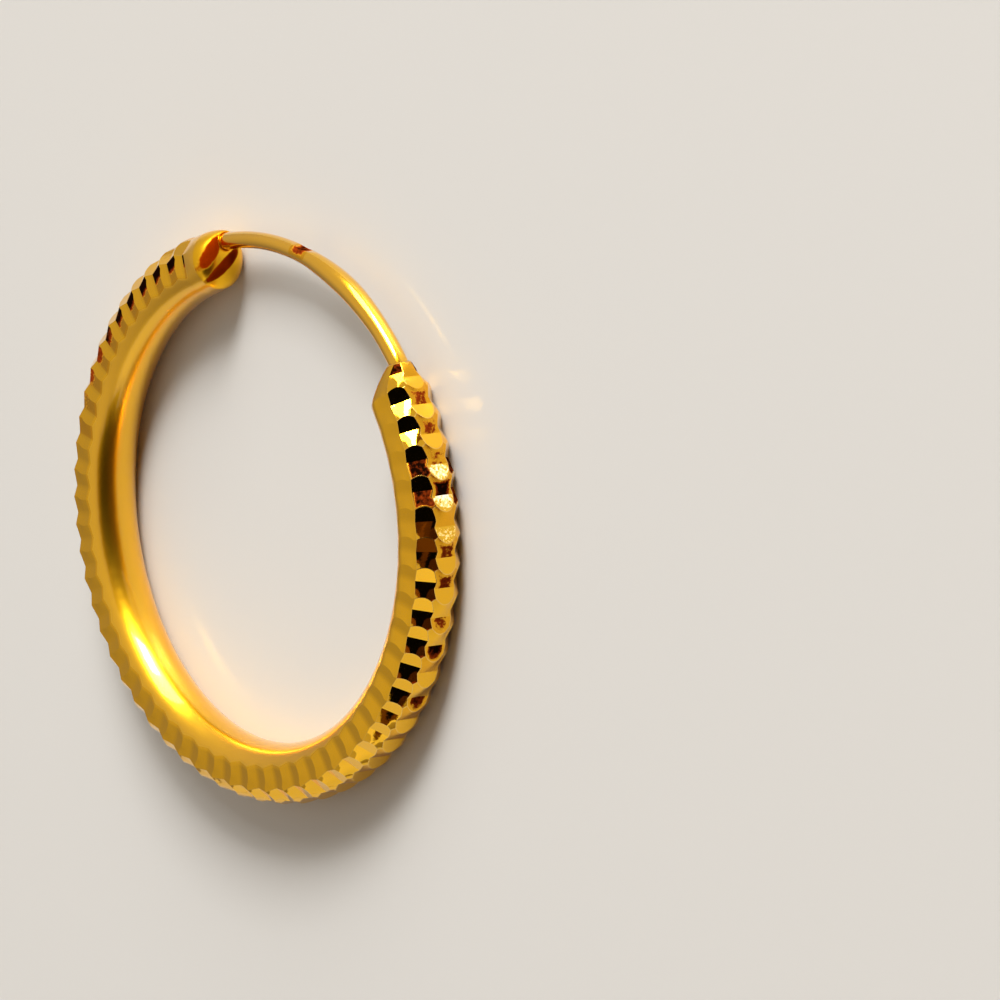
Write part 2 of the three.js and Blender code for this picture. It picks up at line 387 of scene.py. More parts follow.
# %% The ear wire's sections
# Columns: ring angle, diameter, how far it lies outside the tube's centre line, and how much is ground off
# its outward side. The wire is thicker over its middle, and has a notch before its free end.
WIRE_TABLE = np.array([
    (47, 0.86, 0.42, 0), (50, 0.86, 0.43, 0), (53, 0.86, 0.56, 0), (58.5, 0.86, 0.75, 0),
    (67.5, 0.87, 0.77, 0), (71.5, 0.92, 0.765, 0), (75.5, 0.97, 0.77, 0), (79.5, 0.98, 0.765, 0),
    (83, 0.97, 0.745, 0), (86.5, 0.92, 0.73, 0), (89.8, 0.86, 0.72, 0), (92.2, 0.8, 0.72, 0),
    (94.8, 0.76, 0.715, 0.13), (96.6, 0.75, 0.71, 0.13), (99.2, 0.74, 0.705, 0), (122, 0.74, 0.7, 0),
    (125, 0.74, 0.62, 0), (128, 0.74, 0.49, 0), (131, 0.74, 0.44, 0), (139, 0.74, 0.42, 0),
    (140.4, 0.58, 0.42, 0), (141, 0.3, 0.42, 0),
])
DIAMETER, OFFSET, GROUND = 1, 2, 3  # columns after the ring angle
HOLE_CLEARANCE = 0.02  # mm between the wire and the holes in the tube's ends
LIP_WIDTH = 0.06  # mm of metal round a hole at the very tip


def wire_column(angle, column):
    """One column of the table, read at any ring angle."""
    return np.interp(angle, WIRE_TABLE[:, 0], WIRE_TABLE[:, column])


def hole_size(ring_place, extra):
    """Radius and offset of the round hole for the wire, and of what lies `extra` outside it."""
    angle = ring_place % 360
    radius = wire_column(angle, DIAMETER) / 2 + HOLE_CLEARANCE + extra
    return radius, wire_column(angle, OFFSET)


print(f"the wire is {WIRE_TABLE[:, DIAMETER].max()} mm thick at most")

# %% Whole loops from half sections
ROUND_CORNERS = (0, 23, 66, 109, 180)  # where the regions meet, in facing, on sections without facets
ROUND_FACINGS = np.concatenate([
    np.linspace(ROUND_CORNERS[0], ROUND_CORNERS[1], OUTER_PARTS + 1),
    np.linspace(ROUND_CORNERS[1], ROUND_CORNERS[2], SHOULDER_PARTS + 1)[1:],
    np.linspace(ROUND_CORNERS[2], ROUND_CORNERS[3], SIDE_PARTS + 1)[1:],
    np.linspace(ROUND_CORNERS[3], ROUND_CORNERS[4], SMOOTH_PARTS + 1)[1:],
])


def full_loop(angles, outs, ups):
    """Points of a whole section from its half, in metres. The second half mirrors the first."""
    angles = np.concatenate([angles, angles[-2:0:-1]])
    reach = RING_RADIUS + np.concatenate([outs, outs[-2:0:-1]])
    heights = np.concatenate([ups, -ups[-2:0:-1]]) + ring_height
    turn = angles * DEGREE
    return np.stack([reach * np.cos(turn), reach * np.sin(turn), heights], axis=1) * MM


def round_half(radius, offset=0.0):
    """Outward and upward distances of a round half section."""
    return offset + radius * np.cos(ROUND_FACINGS * DEGREE), radius * np.sin(ROUND_FACINGS * DEGREE)


def round_loop(angle, radius, offset=0.0):
    """Round section at one ring angle."""
    outs, ups = round_half(radius, offset)
    return full_loop(np.full(len(outs), float(angle)), outs, ups)


print("a plain section's points face", ROUND_FACINGS[:OUTER_PARTS + 1].tolist(), "and so on")

# %% Loops of the cut tube and its cone
ROOT_LIP_LEAN = 1.6  # degrees by which the root tip falls back for each mm outward
CONE_FULLNESS = 1.15  # 1 is a straight cone, and more is fuller
TIP_MARGIN = 0.35  # degrees before the tip where lines that would pass it are held back
CROWDING = 0.02  # share of their spacing that they keep


def leaning_loop(angle, outs, ups, share):
    """Loop near the root tip, which falls back where it lies outward."""
    lip_offset = hole_size(ROOT_TIP_ANGLE, LIP_WIDTH)[1]
    return full_loop(angle - ROOT_LIP_LEAN * (outs - lip_offset) * share, outs, ups)


def root_tip_loop(extra):
    """Round loop at the root tip: the wire's hole, or what lies `extra` outside it."""
    radius, offset = hole_size(ROOT_TIP_ANGLE, extra)
    return leaning_loop(np.full(HALF_PARTS + 1, ROOT_TIP_ANGLE), *round_half(radius, offset), 1)


def cut_loop(line):
    """One loop of the cut tube, which closes in on the lip along the root cone."""
    angles = ring_angle(places[line])
    limit = ROOT_TIP_ANGLE - TIP_MARGIN
    angles = np.minimum(angles, limit + CROWDING * (angles - limit))
    outs = radii[line] * np.cos(facings[line] * DEGREE)
    ups = radii[line] * np.sin(facings[line] * DEGREE)
    share = np.clip((angles - ROOT_RIM_ANGLE) / (ROOT_TIP_ANGLE - ROOT_RIM_ANGLE), 0, 1)
    lip_radius, lip_offset = hole_size(ROOT_TIP_ANGLE, LIP_WIDTH)
    closing = share ** CONE_FULLNESS
    lip_outs = lip_offset + lip_radius * np.cos(facings[line] * DEGREE)
    lip_ups = lip_radius * np.sin(facings[line] * DEGREE)
    outs = outs + (lip_outs - outs) * closing
    ups = ups + (lip_ups - ups) * closing
    return leaning_loop(angles, outs, ups, share)


cut_part = [cut_loop(line) for line in range(len(LINES))]
print(len(cut_part), "loops follow the cuts")

# %% Loops of the dome and the hollow
DOME_POWER = 1.7  # 2 is an ellipse, and less is closer to a cone
DOME_LOOPS = 24
BORE_LOOPS = 48
LIP_ROUNDING_ANGLE = 0.15  # degrees that the entry hole's edge lies inside the tip
HOLE_MOUTH_ANGLE = 2  # degrees over which the hollow narrows to a wire hole


def dome_loops():
    """Loops from the entry rim to the tip, along a curve between an ellipse and a cone."""
    lip_radius, lip_offset = hole_size(ENTRY_TIP_ANGLE, LIP_WIDTH)
    loops = []
    for loop in range(DOME_LOOPS + 1):
        turn = loop / DOME_LOOPS * math.pi / 2
        share = math.sin(turn) ** (2 / DOME_POWER)
        closing = 1 - max(0.0, math.cos(turn)) ** (2 / DOME_POWER)
        angle = ENTRY_RIM_ANGLE + (ENTRY_TIP_ANGLE - ENTRY_RIM_ANGLE) * share
        radius = BAND_RADIUS + (lip_radius - BAND_RADIUS) * closing
        loops.append(round_loop(angle, radius, lip_offset * closing))
    return loops


def hollow_loops():
    """Loops of the inside: the entry's wire hole, the hollow, and the root's wire hole."""
    loops = []
    for angle in (ENTRY_TIP_ANGLE + LIP_ROUNDING_ANGLE, ENTRY_RIM_ANGLE):
        loops.append(round_loop(angle, *hole_size(angle, 0)))
    bore_start = ENTRY_RIM_ANGLE + HOLE_MOUTH_ANGLE
    bore_end = ROOT_RIM_ANGLE - HOLE_MOUTH_ANGLE
    for angle in np.linspace(bore_start, bore_end, BORE_LOOPS):
        loops.append(round_loop(angle, BORE_RADIUS))
    loops.append(round_loop(ROOT_RIM_ANGLE, *hole_size(ROOT_RIM_ANGLE, 0)))
    loops.append(root_tip_loop(0))
    return loops


root_lip = root_tip_loop(LIP_WIDTH)
band = round_loop(ENTRY_BAND_ANGLE, BAND_RADIUS)
hoop_loops = [root_lip, *cut_part, band, *dome_loops(), *hollow_loops()]
FIRST_CUT_LOOP = 1  # after the root lip
FIRST_DOME_LOOP = FIRST_CUT_LOOP + len(LINES) + 1  # after the cuts and the band
print(len(hoop_loops), "loops of", AROUND, "points")

# %% [markdown]
# ## Making the meshes
#
# A list of loops becomes a mesh by joining each loop to the next with four-sided faces. The hoop's skin
# closes on itself in both directions, so it needs no caps.

# %% Skin through loops
def skin_faces(loop_count, around, closes):
    """Four-sided faces between loops, with outward sides facing out."""
    spans = loop_count if closes else loop_count - 1
    here = np.repeat(np.arange(spans), around)
    side = np.tile(np.arange(around), spans)
    after = (here + 1) % loop_count
    turn = (side + 1) % around
    corners = [here * around + side, here * around + turn, after * around + turn, after * around + side]
    return np.stack(corners, axis=1)


def new_mesh(name, points, faces):
    """New object with this mesh, placed in the scene."""
    mesh = bpy.data.meshes.new(name)
    mesh.from_pydata(points.tolist(), [], [list(face) for face in faces])
    mesh.validate()
    mesh.update()
    piece = bpy.data.objects.new(name, mesh)
    bpy.context.scene.collection.objects.link(piece)
    return piece


hoop = new_mesh("diamond_cut_hoop", np.concatenate(hoop_loops), skin_faces(len(hoop_loops), AROUND, True))
print(f"{hoop.name}: {len(hoop.data.polygons)} faces")

# %% [markdown]
# ## Burnished edges
#
# A diamond tool leaves knife edges, and the last polish rounds them to thin bright lines. So the edges that
# the cutter left proud get a bevel weight, and a bevel modifier gives those a real width, which catches the
# light as the metal's edges do. The valleys can't be polished, so they are only marked sharp.

# %% Which edges are proud, and which are valleys
SOFT_CORNER = 0.4  # share of the full edge width left where the shoulder row meets the side row
PLAIN_TIP_ANGLE = ROOT_RIM_ANGLE + 3.4  # beyond it the cone's edges are too short to bevel


def edge_ends():
    """Loop and column of both ends of every mesh edge. Columns are counted on the half section."""
    ends = np.zeros(len(hoop.data.edges) * 2, dtype=np.int64)
    hoop.data.edges.foreach_get("vertices", ends)
    ends = ends.reshape(-1, 2)
    column = ends % AROUND
    return ends // AROUND, np.minimum(column, AROUND - column)


def edge_kinds():
    """For every mesh edge, how proud it is, from 0 to 1, and whether it is sharp."""
    loop, column = edge_ends()
    line = loop - FIRST_CUT_LOOP
    on_cuts = np.all((line >= 0) & (line < len(LINES)), axis=1)
    across = on_cuts & (loop[:, 0] == loop[:, 1])
    along = on_cuts & (column[:, 0] == column[:, 1]) & (loop[:, 0] != loop[:, 1])
    near = np.clip(line[:, 0], 0, len(LINES) - 1)
    on_edge = line_share[near] == 0
    last = column.max(axis=1)
    in_outer = last <= SHOULDER_START
    in_shoulder = (last > SHOULDER_START) & (last <= SIDE_START)
    in_side = (last > SIDE_START) & (last <= SMOOTH_START)
    outer_ridge = in_outer & on_edge & (line_edge[near] == OUTER_RIDGE)
    outer_valley = in_outer & on_edge & (line_edge[near] == OUTER_VALLEY)
    other_ridge = on_edge & (line_edge[near] == SHOULDER_RIDGE)
    other_valley = on_edge & (line_edge[near] == SHOULDER_VALLEY)
    at_outer_corner = along & (column[:, 0] == SHOULDER_START)
    at_side_corner = along & (column[:, 0] == SIDE_START)
    proud = (across & (outer_ridge | in_shoulder & other_ridge)) | at_outer_corner
    valley = across & (outer_valley | in_shoulder & other_valley | in_side & other_ridge)
    off_tip = ring_angle(line_step[near] + line_share[near]) < PLAIN_TIP_ANGLE
    return (proud + SOFT_CORNER * at_side_corner) * off_tip, proud | at_side_corner | valley


def set_edge_attribute(mesh, name, kind, values):
    """Store one value for every edge of a mesh."""
    attribute = mesh.attributes.new(name, kind, "EDGE")
    attribute.data.foreach_set("value", values)


proud, sharp = edge_kinds()
set_edge_attribute(hoop.data, "bevel_weight_edge", "FLOAT", proud.astype(np.float32))
set_edge_attribute(hoop.data, "sharp_edge", "BOOLEAN", sharp)
print(int((proud > 0).sum()), "proud edges and", int((sharp & (proud == 0)).sum()), "other sharp ones")

# %% Bevel the proud edges
EDGE_WIDTH = 0.022  # mm on each side of a proud edge
EDGE_SEGMENTS = 2  # strips that round it
# places of the finishes in the hoop's list of materials
CUT_SLOT, SMOOTH_SLOT, EDGE_SLOT, PAINTED_DARK_SLOT, WORN_SLOT, DOME_SLOT, PAINTED_GLINT_SLOT = range(7)

bevel = hoop.modifiers.new("burnished edges", "BEVEL")
bevel.limit_method = "WEIGHT"
bevel.offset_type = "OFFSET"
bevel.width = EDGE_WIDTH * MM
bevel.segments = EDGE_SEGMENTS
bevel.use_clamp_overlap = False
bevel.harden_normals = True
bevel.material = EDGE_SLOT
hoop.data.shade_smooth()
print(f"proud edges are {2 * EDGE_WIDTH:.3f} mm wide")

# %% [markdown]
# ## The ear wire
#
# The real one is drawn round wire, bent by hand. A curve with a round profile could make it, but its
# thickness changes and a flat is ground across it for the notch. So its sections are read from the table,
# along a smooth curve and not in straight steps, and a skin is laid over them.

# %% Ear wire mesh
WIRE_LOOPS = 260
WIRE_AROUND = 40
SMOOTHING_ANGLE = 1.2  # degrees of ring angle on each side over which the table's steps are rounded
SMOOTHING_SAMPLES = 9
WIRE_SHARP_ANGLE = 25  # degrees between faces from which an edge, such as the notch's, stays sharp


def smooth_wire_column(angles, column):
    """The table's column, averaged over a few degrees so that it has no kinks."""
    offsets = np.linspace(-SMOOTHING_ANGLE, SMOOTHING_ANGLE, SMOOTHING_SAMPLES)
    return np.mean([wire_column(angles + offset, column) for offset in offsets], axis=0)


def wire_points():
    """Points of the wire, loop by loop from its free end to its root, in metres."""
    angles = np.linspace(WIRE_TABLE[0, 0], WIRE_TABLE[-1, 0], WIRE_LOOPS)[::-1]
    radius = smooth_wire_column(angles, DIAMETER) / 2
    offset = smooth_wire_column(angles, OFFSET)
    ground = smooth_wire_column(angles, GROUND)
    facing = np.arange(WIRE_AROUND) / WIRE_AROUND * 2 * math.pi
    outs = offset[:, None] + radius[:, None] * np.cos(facing)
    outs = np.minimum(outs, (offset + radius - ground)[:, None])
    ups = radius[:, None] * np.sin(facing)
    reach = RING_RADIUS + outs
    turn = angles[:, None] * DEGREE
    return np.stack([reach * np.cos(turn), reach * np.sin(turn), ring_height + ups], axis=-1) * MM


points = wire_points().reshape(-1, 3)
faces = [list(face) for face in skin_faces(WIRE_LOOPS, WIRE_AROUND, False)]
faces.append(list(range(WIRE_AROUND))[::-1])
faces.append([len(points) - WIRE_AROUND + side for side in range(WIRE_AROUND)])
wire = new_mesh("drawn_ear_wire", points, faces)
wire.data.shade_smooth()
wire.data.set_sharp_from_angle(angle=WIRE_SHARP_ANGLE * DEGREE)
print(f"{wire.name}: {len(wire.data.polygons)} faces")

# %% [markdown]
# ## Colours and nodes
#
# Colours are written as sRGB hex, the way a colour chart gives them, and one function turns them to the
# linear values that shaders work in. One other function adds a node with its settings and links, which
# keeps every material short.

# %% Helpers for materials
def linear(hex_colour):
    """Linear red, green, blue and alpha of an sRGB hex colour."""
    channels = [int(hex_colour[start:start + 2], 16) / 255 for start in (1, 3, 5)]
    return [c / 12.92 if c <= 0.04045 else ((c + 0.055) / 1.055) ** 2.4 for c in channels] + [1.0]


def add_node(tree, kind, settings=None, links=None):
    """New node with its settings. A name that isn't an input is a property of the node."""
    node = tree.nodes.new(kind)
    for name, value in (settings or {}).items():
        if name in node.inputs:
            node.inputs[name].default_value = value
        else:
            setattr(node, name, value)
    for name, source in (links or {}).items():
        tree.links.new(source, node.inputs[name])
    return node


def new_material(name, settings):
    """Material with a Principled shader. Returns the material, its node tree and the shader."""
    material = bpy.data.materials.new(name)
    material.use_nodes = True
    shader = material.node_tree.nodes["Principled BSDF"]
    for socket, value in settings.items():
        shader.inputs[socket].default_value = value
    return material, material.node_tree, shader


print("hex #FFFFFF is", linear("#FFFFFF"))

# %% [markdown]
# ## Gold plating
#
# The metal is brass with a thick, warm 22-carat gold plating under a thin clear lacquer, which keeps it from
# wearing. Gold takes its colour from its reflection, so the base colour is a deep yellow and everything
# darker in it comes from what it mirrors. The lacquer mirrors a little of every light without colouring it,
# which turns the strongest highlights cream.
#
# What tells one finish from another is how sharply it mirrors, and the faint waves that the tool left. So one
# function makes them all, from a roughness, a size and depth of waves in millimetres, and how much of the
# lacquer shows. The waves are noise, run through a bump node, because they are far too shallow to model. The
# finest real marks are thousandths of a millimetre apart, and are drawn as coarse as they need to be to show.

# %% A polished gold finish
LACQUER_IOR = 1.5  # acrylic lacquer
LACQUER_SHARPNESS = 4  # times less rough than the metal under it, because it flows before it sets


def gold_material(name, colour, roughness, ripple_size, ripple_depth, lacquer):
    """Polished gold plating. Ripple size and depth are in millimetres, lacquer is how much of it shows."""
    material, tree, shader = new_material(name, {
        "Base Color": linear(colour), "Metallic": 1.0, "Roughness": roughness, "Coat Weight": lacquer,
        "Coat IOR": LACQUER_IOR, "Coat Roughness": roughness / LACQUER_SHARPNESS})
    coordinates = add_node(tree, "ShaderNodeTexCoord")
    ripples = add_node(
        tree, "ShaderNodeTexNoise", {"Scale": 1 / (ripple_size * MM), "Detail": 2.0},
        {"Vector": coordinates.outputs["Object"]})
    bump = add_node(
        tree, "ShaderNodeBump", {"Strength": 1.0, "Distance": ripple_depth * MM},
        {"Height": ripples.outputs["Fac"]})
    tree.links.new(bump.outputs["Normal"], shader.inputs["Normal"])
    return material


print(f"lacquer over gold of roughness 0.2 has roughness {0.2 / LACQUER_SHARPNESS}")

# %% Polished gold finishes
GOLD = "#FFC224"
# A paler gold, painted on the burnished edges as a highlight
PALE_GOLD = "#FFCC5C"

# A diamond cuts so cleanly that a facet is a small mirror: it shows one light or dark thing, all over.
cut_gold = gold_material(
    "diamond-cut gold plating", GOLD,
    roughness=0.07, ripple_size=0.14, ripple_depth=0.002, lacquer=0.4)

# The side rows rub against other things in wear. They still mirror, but blur what they show.
worn_gold = gold_material(
    "worn diamond-cut gold plating", GOLD,
    roughness=0.15, ripple_size=0.4, ripple_depth=0.003, lacquer=0.25)

# A cloth wheel held by hand leaves slow waves, so the inner side has long soft streaks of light.
smooth_gold = gold_material(
    "hand-polished gold plating", GOLD,
    roughness=0.28, ripple_size=1.5, ripple_depth=0.02, lacquer=0.8)

# Edges rounded by the last polish turn through every direction, so they always catch some light. Their
# gold is also painted a little paler, a painted highlight that makes these light lines brighter.
edge_gold = gold_material(
    "burnished gold edge", PALE_GOLD,
    roughness=0.22, ripple_size=0.3, ripple_depth=0.002, lacquer=0.4)

# Drawing the wire through a plate leaves it evenly satin, under a full coat of lacquer with its own shine.
wire_gold = gold_material(
    "drawn gold-plated wire", GOLD,
    roughness=0.18, ripple_size=0.6, ripple_depth=0.004, lacquer=1.0)

polished = (cut_gold, worn_gold, smooth_gold, edge_gold, wire_gold)
print("polished finishes:", [material.name for material in polished])

# %% [markdown]
# ## Painted dark reflections, glints and red tones
#
# Some tones that the gold would mirror are painted on it instead. Dark red to black on some walls and facets
# is a painted dark reflection, and white spots on three outer facets are painted glints. Dark red on the dome
# is a painted red reflection. Dark red-brown on the shoulder facets at the root tip is painted shade, and so
# is the dark flat in the wire's notch. The lacquer is left off all of these.
#
# They could be painted by hand. Here every point of the mesh has a number for its painted light, and one
# function makes a finish that turns from bare gold to a first and then a second painted tone as the number
# rises. Noise added to it breaks the border up into spots.

# %% A gold finish with painted light
PAINTED_TONE_START = 0.22  # painted light at which the first painted tone starts
FIRST_PAINTED_TONE = 0.34  # painted light at which no bare gold shows any more
SECOND_PAINTED_TONE = 0.6
PAINTED_TONE_ROUGHNESS = 0.6
PAINTED_TONE_RELIEF = 0.004  # mm
SPOT_ROUGHNESS = 0.6  # how much the finest spots show


def painted_light_gold_material(name, bare, thin, thick, spot_size, spotting, roughness):
    """Gold without lacquer, which the mesh's painted-light number covers with matt painted tones.

    The colours are those of the bare gold, of the first painted tone (`thin`) and of the second (`thick`).
    Spot size is in millimetres, and the spots make the painted light more or less by up to half of `spotting`."""
    material, tree, shader = new_material(name, {"Specular IOR Level": 0.0})
    coordinates = add_node(tree, "ShaderNodeTexCoord")
    spots = add_node(
        tree, "ShaderNodeTexNoise",
        {"Scale": 1 / (spot_size * MM), "Detail": 2.0, "Roughness": SPOT_ROUGHNESS},
        {"Vector": coordinates.outputs["Object"]})
    painted_light = add_node(tree, "ShaderNodeAttribute", {"attribute_name": "painted_light"})
    more_or_less = add_node(
        tree, "ShaderNodeMapRange", {"To Min": -spotting / 2, "To Max": spotting / 2},
        {"Value": spots.outputs["Fac"]})
    amount = add_node(
        tree, "ShaderNodeMath", {"operation": "ADD"},
        {0: more_or_less.outputs["Result"], 1: painted_light.outputs["Fac"]})
    tone = add_node(tree, "ShaderNodeValToRGB", {}, {"Fac": amount.outputs["Value"]})
    tone.color_ramp.elements[0].position = PAINTED_TONE_START
    tone.color_ramp.elements[0].color = linear(bare)
    tone.color_ramp.elements[1].position = SECOND_PAINTED_TONE
    tone.color_ramp.elements[1].color = linear(thick)
    tone.color_ramp.elements.new(FIRST_PAINTED_TONE).color = linear(thin)
    bare_to_covered = {"From Min": PAINTED_TONE_START, "From Max": FIRST_PAINTED_TONE}
    metal = add_node(
        tree, "ShaderNodeMapRange", {**bare_to_covered, "To Min": 1.0, "To Max": 0.0},
        {"Value": amount.outputs["Value"]})
    satin = add_node(
        tree, "ShaderNodeMapRange", {**bare_to_covered, "To Min": roughness, "To Max": PAINTED_TONE_ROUGHNESS},
        {"Value": amount.outputs["Value"]})
    bump = add_node(
        tree, "ShaderNodeBump", {"Strength": 1.0, "Distance": PAINTED_TONE_RELIEF * MM},
        {"Height": spots.outputs["Fac"]})
    tree.links.new(tone.outputs["Color"], shader.inputs["Base Color"])
    tree.links.new(metal.outputs["Result"], shader.inputs["Metallic"])
    tree.links.new(satin.outputs["Result"], shader.inputs["Roughness"])
    tree.links.new(bump.outputs["Normal"], shader.inputs["Normal"])
    return material


# Prints where the painted tones start and where the second one is full.
print(f"a skin starts at tarnish {PAINTED_TONE_START} and is thick at {SECOND_PAINTED_TONE}")

# %% Gold finishes with painted light
# Painted dark reflections, matt, break a row of mirrors with ragged dark squares, from red-brown to near
# black.
painted_dark_gold = painted_light_gold_material(
    "gold with painted dark reflections and shade", bare="#F4B228", thin="#8C340C", thick="#120502",
    spot_size=0.2, spotting=0.6, roughness=0.2)

# Painted red reflections on the dome: an even tone with soft borders, from orange-red to a deep red-brown.
dome_gold = painted_light_gold_material(
    "gold plating with painted red reflections", bare=GOLD, thin="#8C2A00", thick="#541200",
    spot_size=0.4, spotting=0.2, roughness=0.28)

# Painted glints: white spots close together on a bright facet. The painted tones go from pale to white as the
# number rises.
painted_glint_gold = painted_light_gold_material(
    "gold cut facet with painted glints", bare="#FFC83C", thin="#F2CE78", thick="#FFF4DC",
    spot_size=0.12, spotting=1.2, roughness=0.2)

painted = (painted_dark_gold, dome_gold, painted_glint_gold)
print("tarnished finishes:", [material.name for material in painted])

# %% Finishes in the order of their slots
for material in (cut_gold, smooth_gold, edge_gold, painted_dark_gold, worn_gold, dome_gold, painted_glint_gold):
    hoop.data.materials.append(material)
WIRE_SLOT, NOTCH_SLOT = range(2)
for material in (wire_gold, painted_dark_gold):
    wire.data.materials.append(material)
print("the hoop's finishes:", [material.name for material in hoop.data.materials])

# %% [markdown]
# ## Which face has which finish
#
# The mesh is a grid, so a face's number tells its loop and its column, and these tell which part of which cut
# it lies on. That makes it easy to say in words where each finish goes. Cuts and walls are counted from the
# root.

# %% Where dark reflections and glints are painted
FLAT_PAINTED_DARK = {8: 0.36, 9: 0.66, 11: 0.5}  # outer facets with painted dark reflections, and how much, below walls without them
FLAT_PAINTED_GLINTS = {3: 0.36, 4: 0.36, 5: 0.24}  # outer facets with painted white glints, and how much
RISES_PAINTED_DARK = {2: 0.58, 3: 0.52}  # shoulder walls with painted dark reflections, and how much
LATE_RISE = 37  # from this wall on the side rows get painted dark reflections too, more so towards the entry end


def rise_number(near):
    """Number of the wall that a mesh line belongs to in the shoulder and side rows."""
    return line_step[near] - (line_edge[near] < SHOULDER_RIDGE)


def face_slots():
    """Slot of every face's finish. A face lies between its own mesh line and the next towards the entry."""
    face = np.arange(len(hoop.data.polygons))
    loop = face // AROUND
    column = np.minimum(face % AROUND, AROUND - 1 - face % AROUND)
    line = loop - FIRST_CUT_LOOP
    on_cuts = (line >= 0) & (line < len(LINES) - 1)
    near = np.clip(line, 0, len(LINES) - 1)
    in_outer = on_cuts & (column < SHOULDER_START)
    in_shoulder = on_cuts & (column >= SHOULDER_START) & (column < SIDE_START)
    in_side = on_cuts & (column >= SIDE_START) & (column < SMOOTH_START)

    # the wall before a facet with a painted dark reflection has none
    on_flat = line_edge[near] == OUTER_VALLEY
    unpainted_wall = np.isin(line_step[near] + 1, list(FLAT_PAINTED_DARK))
    painted_wall = in_outer & ~on_flat & ~unpainted_wall
    painted_flat = in_outer & on_flat & np.isin(line_step[near], list(FLAT_PAINTED_DARK))
    painted_glints = in_outer & on_flat & np.isin(line_step[near], list(FLAT_PAINTED_GLINTS))

    on_rise = line_edge[near] != SHOULDER_RIDGE
    painted_tip = in_shoulder & ~on_rise & (line_step[near] == -1)
    painted_rises = in_shoulder & on_rise & np.isin(rise_number(near), list(RISES_PAINTED_DARK))
    late = in_side & on_rise & (rise_number(near) >= LATE_RISE)

    on_dome = (loop >= FIRST_DOME_LOOP) & (loop < FIRST_DOME_LOOP + DOME_LOOPS)
    slots = np.select(
        [painted_wall | painted_flat | painted_tip | painted_rises | late, painted_glints, in_side, in_outer | in_shoulder, on_dome],
        [PAINTED_DARK_SLOT, PAINTED_GLINT_SLOT, WORN_SLOT, CUT_SLOT, DOME_SLOT], SMOOTH_SLOT)
    return slots.astype(np.int32)


slots = face_slots()
hoop.data.polygons.foreach_set("material_index", slots)
print("faces of each finish:", np.bincount(slots, minlength=len(hoop.data.materials)).tolist())

# %% [markdown]
# ## Where light and shade are painted on the gold
#
# A painted dark reflection is strongest at a wall's foot and in its middle, and fades up the wall and towards
# its sides. The two painted red reflections on the dome are long ellipses, laid slantwise over the section. In
# the wire's notch the flat is painted with shade.

# %% How the painted dark reflections fade
# The first walls of the outer row, from the one at the root tip on, get painted dark reflections. The walls
# after them get none.
WALL_PAINTED_DARK = (0.0, 0.36, 0.34, 0.28, 0.66, 0.0, 0.38, 0.4, 0.0)
AT_RIDGE = 0.5  # share of a wall's tarnish that reaches its upper edge
ACROSS_WALL = (1, 1, 0.9, 0.4, 0)  # how it fades from the wall's middle to its side, column by column
ALONG_FLAT_POWER = 3  # how late it fades along a torn facet
TIP_PAINTED_SHADE = 0.56  # painted dark shade on the shoulder facets at the root tip
LATE_PAINTED_DARK = 0.85
LATE_GROWTH = 8  # cuts over which the side rows' tarnish grows to that
BESIDE_START, BESIDE_FADE = 1.6, 2.4  # it is full by the shoulder and fades towards the inner side


def listed(numbers, table):
    """The table's value for each number, or 0 where the table has none."""
    return np.select([numbers == number for number in table], list(table.values()), 0)


def outer_wall_painted_dark(near, across):
    """Painted dark reflection on the outer walls: most at the foot, which is also the start of the next facet.
    """
    at_foot = (line_edge[near] == OUTER_VALLEY) & (line_share[near] == 0)
    wall = line_step[near] - at_foot
    most = np.array(WALL_PAINTED_DARK)[np.clip(wall + 1, 0, len(WALL_PAINTED_DARK) - 1)]
    return most * np.where(line_edge[near] == OUTER_RIDGE, AT_RIDGE, 1.0) * across


def flat_painted_dark(near, across):
    """Painted dark reflection on outer facets: most at their start, next to the wall's foot."""
    return listed(line_step[near], FLAT_PAINTED_DARK) * (1 - line_share[near] ** ALONG_FLAT_POWER) * across


def side_painted_dark(near, column):
    """Painted dark reflection on the side rows' last walls."""
    growth = np.clip((rise_number(near) - LATE_RISE + 1) / LATE_GROWTH, 0, 1)
    fade = np.clip(BESIDE_START - BESIDE_FADE * (column - SIDE_START) / SIDE_PARTS, 0, 1)
    return LATE_PAINTED_DARK * growth * fade


print("the most tarnished wall has", max(WALL_PAINTED_DARK))

# %% Painted red reflections on the dome
# Columns: how far outward and upward the middle lies on the tube's section, half the length and half the
# width, all in millimetres, the direction in degrees, and the strength of the painted red reflection.
DOME_PAINTED_REFLECTIONS = (
    (0.31, 0.77, 1.15, 0.4, -30, 0.4),
    (-0.29, 0.15, 1.28, 0.35, -51, 0.5),
)
PATCH_STEEPNESS = 1.4  # more makes the patches fuller, with a harder border


def dome_painted_reflection():
    """Painted red reflection at every point of the hoop, as if it lay on the dome."""
    x, y, z = np.concatenate(hoop_loops).T / MM
    out = np.hypot(x, y) - RING_RADIUS
    up = z - ring_height
    painted_red = np.zeros(len(x))
    for middle_out, middle_up, half_length, half_width, way, most in DOME_PAINTED_REFLECTIONS:
        cosine, sine = math.cos(way * DEGREE), math.sin(way * DEGREE)
        along = (out - middle_out) * cosine + (up - middle_up) * sine
        across = (up - middle_up) * cosine - (out - middle_out) * sine
        inside = 1 - (along / half_length) ** 2 - (across / half_width) ** 2
        painted_red = np.maximum(painted_red, most * np.clip(PATCH_STEEPNESS * inside, 0, 1))
    return painted_red


print(len(DOME_PAINTED_REFLECTIONS), "patches on the entry dome")
